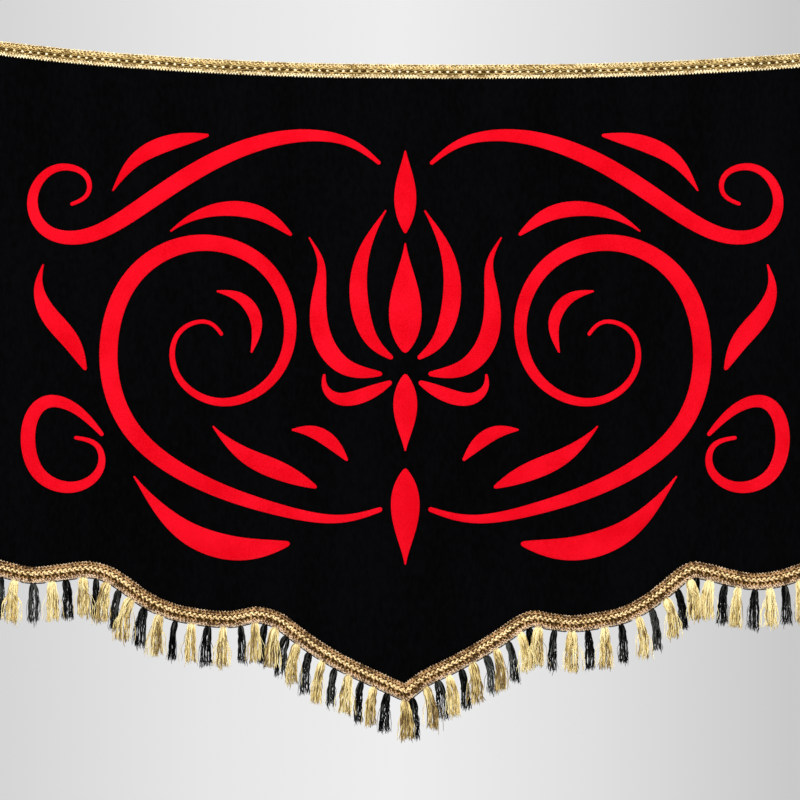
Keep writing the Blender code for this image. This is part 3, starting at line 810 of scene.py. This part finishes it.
yarn = {
    "steps": 20,
    "scatter": 0.17,    # at the foot, as a share of the half width
    "limit": 1.05,
    "endSpread": 1.3 * mm,    # unevenness of the cut ends
    "longShare": 0.03,
    "longExtra": 4 * mm,
    "lockDrops": (2 * mm, 26 * mm),    # the locks form between these drops
    "widthDrops": (0, 20 * mm),
    "partWidth": (0.5, 1.4),
    "partPlace": 0.3,    # a parting's farthest place from the tassel's middle, as a share of the half width
    "wave": 0.95,
    "waveShare": (0.08, 1),
    "waveDrops": (2 * mm, 12 * mm),
    "wavePitch": (11, 21),
    "waveDeep": 0.7,    # waves in depth, as a share of those sideways
    "flick": 1.2 * mm,    # sideways at the very end
    "flickFrom": 0.72,
    "deepDrops": (0, 6, 40),
    "deepHalves": (0.3, 1.3, 1.6),
    "bundleDrops": (3 * mm, 15 * mm),    # root bundle above, free yarns below
    "taper": ([0, 0.1, 0.6, 0.93, 1], [0.9, 1.0, 0.95, 0.8, 0.35]),    # share of length, share of radius
    "thickness": (0.75, 1.2),
    "looseThin": 0.35,
    "looseTone": 0.3,
    "tasselTone": 0.13,
}
headerCord = {
    "samples": 3.2, "pitch": 3.0, "below": 1.0, "twist": 0.32, "radius": 0.4, "tuck": 1.9, "tuckLength": 1.7,
    "tone": 0.35,
}


# Length along the hem of each tassel: runs start half a pitch in, and the one that ends at the
# point ends with a whole root there
def tasselPlaces():
    places = []
    for low, high, tassels in fringe["runs"]:
        start, end = np.interp([low * mm, high * mm], hemLine[:, 0], hemLength)
        shifts = formDraw.uniform(-fringe["alongShift"], fringe["alongShift"], tassels)
        pitch = (end - start) / tassels
        if high == fringe["pointX"]:
            pitch = (end - start - fringe["rootWidth"] / 2) / (tassels - 0.5)
            shifts[-1] = 0
        places.append(start + pitch * (np.arange(tassels) + 0.5) + shifts)
    return np.concatenate(places)


# One colour's tassels in the solids' order of draws: sway, length, spread, then each lock's length
def tasselForms(tassels):
    sway, shift = fringe["sway"], fringe["lengthShift"]
    low = [-sway, -shift, fringe["leastSpread"]] + [-shift] * fringe["locks"]
    high = [sway, shift, 1] + [shift] * fringe["locks"]
    forms = formDraw.uniform(low, high, (tassels, len(low)))
    forms[:, 1] += fringe["length"]
    forms[:, 2] *= fringe["halfSpread"]
    return forms


# Where each yarn stands across its tassel at the root and at the foot, from -1 to 1, whether it is loose,
# and its lock. Feet are drawn towards the middle of their lock, but loose ones stray
def yarnFeet(tassels, look):
    yarns, locks = look["yarns"], fringe["locks"]
    perYarn = (tassels, yarns, 1)
    mixed = fineDraw.uniform(0, 1, (tassels, yarns))
    even = (np.argsort(np.argsort(mixed, axis=1), axis=1)[..., None] + 0.5) / yarns * 2 - 1
    loose = fineDraw.uniform(0, 1, perYarn) < look["loose"]
    atFoot = np.clip(even + fineDraw.normal(0, yarn["scatter"], perYarn), -yarn["limit"], yarn["limit"])
    atFoot = np.where(loose, look["stray"] * fineDraw.uniform(-1, 1, perYarn), atFoot)
    lock = np.clip(((atFoot + 1) * locks / 2).astype(int), 0, locks - 1)
    lockMiddle = (lock - (locks - 1) / 2) * 2 / (locks - 1 + 2 * fringe["lockFill"])
    atFoot = atFoot + (lockMiddle - atFoot) * np.where(loose, 0, look["lockPull"])
    return even, atFoot, loose, lock


# Half width of each tassel on its way down, and how far the two halves of a few tassels stand apart,
# which goes as sin(pi * d / L) ^ 1.4
def tasselWidths(forms, even, below, down, look):
    perTassel = (len(forms), 1, 1)
    half = np.interp(below, np.array(fringe["drops"]) * mm, np.array(look["halfWidths"]) * mm)
    narrow = 1 - (forms[:, 2] / fringe["halfSpread"])[:, None, None]
    half = half * (1 - narrow * softStep(*yarn["widthDrops"], below))
    half = half * fineDraw.uniform(*look["fullness"], perTassel)
    parted = fineDraw.uniform(0, 1, perTassel) < look["parted"]
    parting = np.where(parted, fineDraw.uniform(*yarn["partWidth"], perTassel), 0)
    side = np.sign(even - fineDraw.uniform(-yarn["partPlace"], yarn["partPlace"], perTassel))
    return half, parting * mm * side * np.sin(np.pi * down) ** 1.4


# Waves of each yarn, sideways and in depth: size * sin(tau * drop / pitch + start)
def yarnWaves(drop, below):
    perWave = (2, *drop.shape[:2], 1)
    size = fineDraw.uniform(*yarn["waveShare"], perWave) ** 1.3 * yarn["wave"] * mm
    size = size * softStep(*yarn["waveDrops"], below)
    pitch = fineDraw.uniform(*yarn["wavePitch"], perWave) * mm
    return size * np.sin(tau * drop / pitch + fineDraw.uniform(0, tau, perWave))


# Yarns of one colour. At drop d down a tassel of length L, a yarn is at
# x = top + shift * (1 - (1 - d/L)^3) + half width * its place + parting + wave + flick, and its place
# goes from an even spread at the root to its foot's. Its depth is drawn within a half depth that goes
# as sqrt(1 - 0.8 * place^2) across the tassel
def yarnPaths(places, forms, depth, look):
    tassels, yarns = len(places), look["yarns"]
    perYarn = (tassels, yarns, 1)
    even, atFoot, loose, lock = yarnFeet(tassels, look)
    lockLength = np.take_along_axis(forms[:, 3:], lock[..., 0], axis=1)[..., None]
    length = forms[:, 1][:, None, None] + lockLength + fineDraw.normal(0, yarn["endSpread"], perYarn)
    length = length + np.where(fineDraw.uniform(0, 1, perYarn) < yarn["longShare"], yarn["longExtra"], 0)
    share = np.linspace(0, 1, yarn["steps"])[None, None, :]
    drop = (length + fringe["rootRise"]) * share - fringe["rootRise"]
    below = np.maximum(drop, 0)
    down = np.clip(below / length, 0, 1)

    half, parting = tasselWidths(forms, even, below, down, look)
    wave = yarnWaves(drop, below)
    flick = fineDraw.normal(0, yarn["flick"], perYarn) * softStep(yarn["flickFrom"], 1.0, share) ** 2
    deep = fineDraw.uniform(-1, 1, perYarn) * np.sqrt(np.clip(1 - 0.8 * atFoot**2, 0.1, 1))
    deep = deep * np.interp(below, np.array(yarn["deepDrops"]) * mm, np.array(yarn["deepHalves"]) * mm)
    free = softStep(*yarn["bundleDrops"], below)
    stagger = (-1.0) ** lock * fringe["stagger"] * free
    sideways = half * (even + (atFoot - even) * softStep(*yarn["lockDrops"], below))
    forward = look["forward"] * np.minimum(1, below / fringe["forwardDrop"])

    top = onCloth(onHem(places, fringe["tapeTo"]), depth)[:, None, None]
    out = onHem(places, 1) - onHem(places, 0)
    shift = (fringe["lean"] * out[:, 0] + forms[:, 0])[:, None, None]
    slope = np.clip(-out[:, 0] / out[:, 1], -1, 1)[:, None, None]
    x = top[..., 0] + shift * (1 - (1 - down) ** 3) + sideways + parting + wave[0] + flick
    y = top[..., 1] - forward + deep + stagger + wave[1] * yarn["waveDeep"]
    z = top[..., 2] - drop + slope * sideways * (1 - free)
    paths = np.stack([x, y, z], axis=-1).reshape(tassels * yarns, yarn["steps"], 3)

    # Each yarn's tone is drawn widely: partly the yarns' own spread of colour, partly painted shade and
    # highlight between them
    tone = fineDraw.normal(look["tone"], look["toneSpread"], (tassels, yarns))
    tone = tone + yarn["looseTone"] * loose[..., 0] + fineDraw.normal(0, yarn["tasselTone"], (tassels, 1))
    radius = look["radius"] * mm * np.interp(share[0], *yarn["taper"])
    radius = radius * fineDraw.uniform(*yarn["thickness"], (tassels * yarns, 1))
    radius = radius * (1 - yarn["looseThin"] * loose.reshape(-1, 1))
    return paths, radius, tone.ravel()


# Twisted cord of the tassel's yarn along the tape's lower edge, on both sides of each root. A ply is at
# across = tape's edge + below + twist * sin(turn), depth = middle - twist * cos(turn), and both ends are
# tucked up behind the braid
def headerCords(places, middle, reach):
    span = np.linspace(-reach, reach, round(headerCord["samples"] * reach) + 1) * mm
    tuck = headerCord["tuck"] * softStep(reach - headerCord["tuckLength"], reach, np.abs(span) / mm)
    along = np.clip(places[:, None] + span, 0, hemLength[-1])
    batches = []
    for lag in (0, tau / 2):
        turn = tau * span / (headerCord["pitch"] * mm) + lag
        across = fringe["tapeTo"] + (headerCord["below"] - tuck + headerCord["twist"] * np.sin(turn)) * mm
        path = onCloth(onHem(along, across), middle - headerCord["twist"] * mm * np.cos(turn))
        batches.append(tubes(path, headerCord["radius"] * mm, 4, 0, headerCord["tone"]))
    return batches


# The tape is a flat strip that carries one colour's tassels
def makeFringe(colour, places, front):
    look = fringe[colour]
    middle = front + fringe["tapeThick"] / 2
    paths, radius, tones = yarnPaths(places, tasselForms(len(places)), middle, look)
    along = np.linspace(0, hemLength[-1], round(hemLength[-1] / fringe["tapeStep"]) + 1)[:, None]
    across = np.array([fringe["tapeFrom"], fringe["tapeTo"], fringe["tapeTo"], fringe["tapeFrom"]])
    depth = front + np.array([0, 0, 1, 1]) * fringe["tapeThick"]
    tape = onCloth(onHem(along, across), depth)
    batches = [tubes(paths, radius, 3, 0, tones), {"points": tape[None], "cap": "fan", "slot": 1}]
    batches += headerCords(places, middle, look["header"])
    colours = [yarnMaterial(colour + "_yarn", *look["yarn"]),
               ribMaterial(colour + "_tape", *look["tape"], 350, 0.8, 2.0, 0.6, Roughness=0.7)]
    return finishPiece(ringMesh(colour + "_fringe", batches, colours), look["slot"], "fringe_" + colour)


# Lustrous yarn: colour by its tone, paler just under the braid as a painted highlight, with fine fibres along
# it
def yarnMaterial(name, light, middle, dark, roughness, specular, rootHighlight):
    material, tree, shader = newMaterial(name, Roughness=roughness, Specular_IOR_Level=specular)
    along = threadPlace(tree)
    change = mathOn(tree, "ADD", noiseOn(tree, objectPlace(tree), 150, 3, (1, 1, 0.35)), -0.5)
    shade = mathOn(tree, "MULTIPLY_ADD", change, 1.6, toneOf(tree))
    down = addNode(tree, "SeparateXYZ", {"Vector": along}).outputs["Y"]
    # painted highlight at the root, fading out 16 mm down the yarn
    highlightFade = {"Value": down, "From Min": 1 * mm, "From Max": 16 * mm, "To Min": rootHighlight, "To Max": 0}
    shade = mathOn(tree, "ADD", shade, addNode(tree, "MapRange", highlightFade).outputs[0])
    colourInto(tree, shader, shade, (0.1, dark), (0.5, middle), (0.9, light))
    bumpInto(tree, shader, wavesOn(tree, along, "DIAGONAL", 500, 3.0), 0.06 * mm, 0.6)
    return material


places = tasselPlaces()
goldTapeFront = laidBack + cloth["gap"]
goldFringe = makeFringe("gold", places[1::2], goldTapeFront)
blackFringe = makeFringe("black", places[0::2], goldTapeFront + fringe["tapeThick"] + cloth["gap"])
print("fringe is made,", len(places), "tassels")


# Red shapes: width at the belly, where it is, width at root and tip, then pull points, in mm
redShapes = {
    "thick": 1.2 * mm,
    "edgeLow": 0.55,    # share of the thickness that stands straight up at the cut edge
    "crown": 0.25 * mm,
    "edge": 0.55 * mm,    # radius of the cut edge
    "middleX": 10 * mm,
    "bellyPower": 2.4,
    "step": 3.0 * mm,
    "middle": [
        ("heart", 34, 0.36, 3, 2, [(0, -300), (0, -250), (0, -186)]),
        ("foot_leaf", 25, 0.40, 3, 2, [(0, -322), (0, -360), (0, -402)]),
        ("drop", 30, 0.38, 2, 2, [(0, -420), (0, -460), (0, -520)]),
        ("top_bud", 23, 0.42, 2, 2, [(0, -176), (0, -130), (0, -90)]),
    ],
    "side": [
        ("petal_in", 19, 0.42, 4, 2, [(13, -306), (40, -288), (52, -236), (44, -190), (20, -152)]),
        ("petal_out", 20, 0.40, 4, 2, [
            (24, -322), (66, -320), (92, -282), (90, -236), (84, -206), (100, -180)]),
        ("petal_low", 15, 0.42, 4, 3, [(14, -330), (40, -344), (70, -352), (86, -336), (84, -322)]),
        ("vine", 19, 0.40, 5, 4, [
            (24, -462), (70, -478), (140, -462), (212, -438), (286, -392), (316, -316), (298, -222),
            (226, -176), (146, -196), (112, -262), (128, -330), (190, -362), (244, -330), (244, -276),
            (204, -262), (190, -282)]),
        ("scroll_bud", 13, 0.50, 2, 2, [(160, -300), (150, -268), (168, -240), (196, -236)]),
        ("tail", 15, 0.42, 4, 4, [
            (314, -386), (340, -356), (376, -344), (396, -376), (388, -430), (344, -446), (312, -424),
            (316, -392), (344, -388)]),
        ("crown", 18, 0.42, 4, 4, [
            (26, -104), (60, -74), (130, -72), (204, -100), (268, -144), (326, -184), (378, -180),
            (394, -138), (368, -102), (328, -110), (326, -138), (348, -146)]),
        ("leaf_low", 26, 0.40, 4, 2, [(120, -498), (170, -508), (226, -492), (262, -456), (282, -428)]),
        ("leaf_side", 20, 0.42, 3, 2, [(332, -318), (346, -286), (372, -262), (384, -232), (376, -208)]),
        ("leaf_top", 16, 0.42, 3, 2, [(118, -178), (148, -152), (192, -148), (226, -160), (244, -174)]),
        ("leaf_arm", 17, 0.45, 3, 2, [(204, -74), (246, -80), (284, -98), (304, -132)]),
        ("leaf_in", 20, 0.42, 3, 2, [(92, -440), (126, -424), (164, -410), (190, -388), (200, -376)]),
        ("vine_bud", 15, 0.50, 3, 2, [(60, -412), (76, -392), (96, -380), (118, -380)]),
    ],
}
stitch = {
    "inset": 1.5 * mm,
    "pitch": 3.2 * mm,
    "long": 2.3 * mm,
    "radius": 0.2 * mm,
    "sink": 0.02 * mm,
    "rise": 0.25 * mm,
    "endGap": 6 * mm,
    "leastHalf": 2.8 * mm,    # narrower places have no stitches
}


# Cubic B-spline from the first pull point to the last: ((1-f)^3 P0 + (3f^3-6f^2+4) P1 + ... + f^3 P3) / 6
def pullCurve(path, samples=1600):
    pull = np.array(path, float) * mm
    pull = np.vstack([2 * pull[0] - pull[1], pull, 2 * pull[-1] - pull[-2]])
    spans = len(pull) - 3
    t = np.linspace(0, spans, samples)
    first = np.minimum(t.astype(int), spans - 1)
    f = (t - first)[:, None]
    weights = ((1 - f) ** 3, 3 * f**3 - 6 * f**2 + 4, -3 * f**3 + 3 * f**2 + 3 * f + 1, f**3)
    return sum(weight * pull[first + k] for k, weight in enumerate(weights)) / 6


# Half width along a shape: ends + (belly - ends) * ((t/a)^a * ((1-t)/(1-a))^(1-a))^power, and each
# end rounded off as sqrt(1 - (1 - distance/radius)^2)
def halfWidthAlong(along, total, belly, at, root, tip):
    t = np.clip(along / total, 1e-6, 1 - 1e-6)
    swell = ((t / at) ** at * ((1 - t) / (1 - at)) ** (1 - at)) ** redShapes["bellyPower"]
    ends = root * (1 - t) + tip * t
    atBelly = root * (1 - at) + tip * at
    half = (ends + (belly - atBelly) * swell) * mm / 2
    for distance, radius in ((along, root * mm / 2), (total - along, tip * mm / 2)):
        half = half * np.sqrt(np.clip(1 - (1 - np.minimum(distance / radius, 1)) ** 2, 0.004, 1))
    return half


# Cross-section of a shape: a flat back, and a front that rises as a quarter circle from each cut
# edge to its full thickness, with a slight crown
def makeRedShape(shape, side, suffix, colours):
    name, belly, at, root, tip, path = shape
    fine = pullCurve(path)
    fineLength = lengthAlong(fine)
    total = fineLength[-1]
    close = np.array([0, 0.1, 0.3, 0.6, 1.0]) * mm
    inner = np.linspace(2 * mm, total - 2 * mm, round((total - 4 * mm) / redShapes["step"]) + 1)
    along = np.concatenate([close, inner, total - close[::-1]])
    step = lineAt(along, fineLength, unit(np.gradient(fine, axis=0)))
    square = unit(np.stack([-step[:, 1], step[:, 0]], axis=1)) * (side, 1)
    spine = lineAt(along, fineLength, fine) * (side, 1) + (redShapes["middleX"], 0)
    half = halfWidthAlong(along, total, belly, at, root, tip)[:, None]
    edge = np.minimum(redShapes["edge"], 0.9 * half)
    fromEdge = [np.array([0, 0.08, 0.3, 0.62, 1.0]) * edge, edge + (half - edge) * 0.5]
    across = half - np.concatenate(fromEdge, axis=1)
    across = np.concatenate([across, np.zeros((len(across), 1)), -across[:, ::-1]], axis=1)
    rise = np.sqrt(np.clip(1 - (1 - np.minimum((half - np.abs(across)) / edge, 1)) ** 2, 0, 1))
    low = redShapes["edgeLow"] * redShapes["thick"]
    height = low + (redShapes["thick"] - low) * rise + redShapes["crown"] * (1 - (across / half) ** 2)
    across = np.concatenate([across, -half, half], axis=1)
    height = np.concatenate([height, np.zeros((len(height), 2))], axis=1)
    flat = spine[:, None] + square[:, None] * across[..., None]
    batches = [{"points": onCloth(flat, laidBack - height)[None], "cap": "fan"}]
    batches += edgeStitches(along, total, spine, square, half[:, 0])
    piece = ringMesh(name + suffix + "_cloth", batches, colours, sharp=60)
    finishPiece(piece, "red_cloth", name + suffix)


# Stitches just inside both edges: each a short arc, out of the cloth by rise * sin(pi * t)
def edgeStitches(along, total, spine, square, half):
    t = np.linspace(0, 1, 4)
    starts = np.arange(stitch["endGap"], total - stitch["endGap"], stitch["pitch"])
    place = starts[:, None] + t * stitch["long"]
    width = np.interp(place, along, half)
    wide = width.min(axis=1) > stitch["leastHalf"]
    place, width = place[wide], width[wide]
    middle, out = lineAt(place, along, spine), lineAt(place, along, square)
    depth = laidBack - redShapes["thick"] + stitch["sink"] - stitch["rise"] * np.sin(np.pi * t)
    batches = []
    for edge in (-1, 1):
        flat = middle + out * (edge * (width - stitch["inset"]))[..., None]
        batches.append(tubes(onCloth(flat, depth), stitch["radius"], 3, 1))
    return batches


def redMaterial():
    material, tree, shader = newMaterial("red_cloth", Roughness=0.85, Specular_IOR_Level=0.03,
                                         Sheen_Weight=0.05, Sheen_Tint=(1.0, 0.05, 0.08, 1))
    place = objectPlace(tree)
    nap = noiseOn(tree, place, 900)
    shade = meanOf(tree, nap, noiseOn(tree, place, 22))
    colourInto(tree, shader, shade, (0.38, (0.57, 0.0001, 0.005)), (0.62, (0.72, 0.0032, 0.0135)))
    bumpInto(tree, shader, nap, 0.15 * mm, 0.5)
    return material


def stitchMaterial():
    material, tree, shader = newMaterial("red_stitches", Roughness=0.5, Specular_IOR_Level=0.2)
    twist = noiseOn(tree, objectPlace(tree), 1400, 2)
    colourInto(tree, shader, twist, (0.3, (0.40, 0.0003, 0.004)), (0.7, (0.66, 0.002, 0.012)))
    return material


redColours = [redMaterial(), stitchMaterial()]
for shape in redShapes["middle"]:
    makeRedShape(shape, 1, "", redColours)
for shape in redShapes["side"]:
    makeRedShape(shape, -1, "_l", redColours)
    makeRedShape(shape, 1, "_r", redColours)
print("red shapes are laid on")
